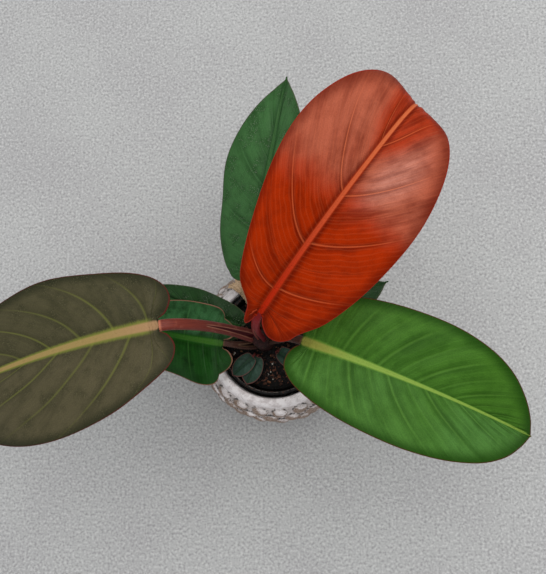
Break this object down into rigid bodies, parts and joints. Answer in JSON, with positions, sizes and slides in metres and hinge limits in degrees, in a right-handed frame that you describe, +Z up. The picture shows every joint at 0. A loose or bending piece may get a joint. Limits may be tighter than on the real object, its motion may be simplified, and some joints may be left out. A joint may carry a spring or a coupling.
{
  "type": "potted philodendron",
  "caption": "Potted philodendron with broad ovate leaves, one of them flushed orange, in a black nursery pot set inside a knobbed, whitewashed ceramic pot",
  "frame": {"origin": "centre of the ceramic pot's flat base, on the surface that it stands on", "axes": "+Z up along the pots' axis, X along the spread of the left and right leaves, +Y away from the front towards the orange leaf's tip"},
  "size_m": [0.5702, 0.3762, 0.3336],
  "materials": {
    "ceramic": "matte",
    "black_plastic": "satin",
    "soil": "matte",
    "stem": "matte",
    "orange_leaf": "satin",
    "bronze_leaf": "satin",
    "bright_leaf": "satin",
    "green_leaf": "satin",
    "dark_leaf": "satin",
    "young_leaf": "satin",
    "red_petiole": "satin",
    "brown_petiole": "satin",
    "dark_petiole": "satin",
    "dry_sheath": "matte"
  },
  "bodies": {
    "root": {"outer_pot": "ceramic", "nursery_pot": "black_plastic", "soil": "soil", "stem": "stem", "orange_blade": "orange_leaf", "orange_petiole": "red_petiole", "left_blade": "bronze_leaf", "left_petiole": "brown_petiole", "right_blade": "bright_leaf", "right_petiole": "dark_petiole", "back_blade": "dark_leaf", "back_petiole": "dark_petiole", "lower_left_blade": "green_leaf", "lower_left_petiole": "dark_petiole", "under_left_blade": "dark_leaf", "under_left_petiole": "dark_petiole", "back_right_blade": "dark_leaf", "back_right_petiole": "dark_petiole", "juvenile_front_blade": "young_leaf", "juvenile_front_petiole": "red_petiole", "juvenile_under_blade": "young_leaf", "juvenile_under_petiole": "red_petiole", "juvenile_right_blade": "young_leaf", "juvenile_right_petiole": "red_petiole", "dry_sheath": "dry_sheath"}
  },
  "joints": []
}
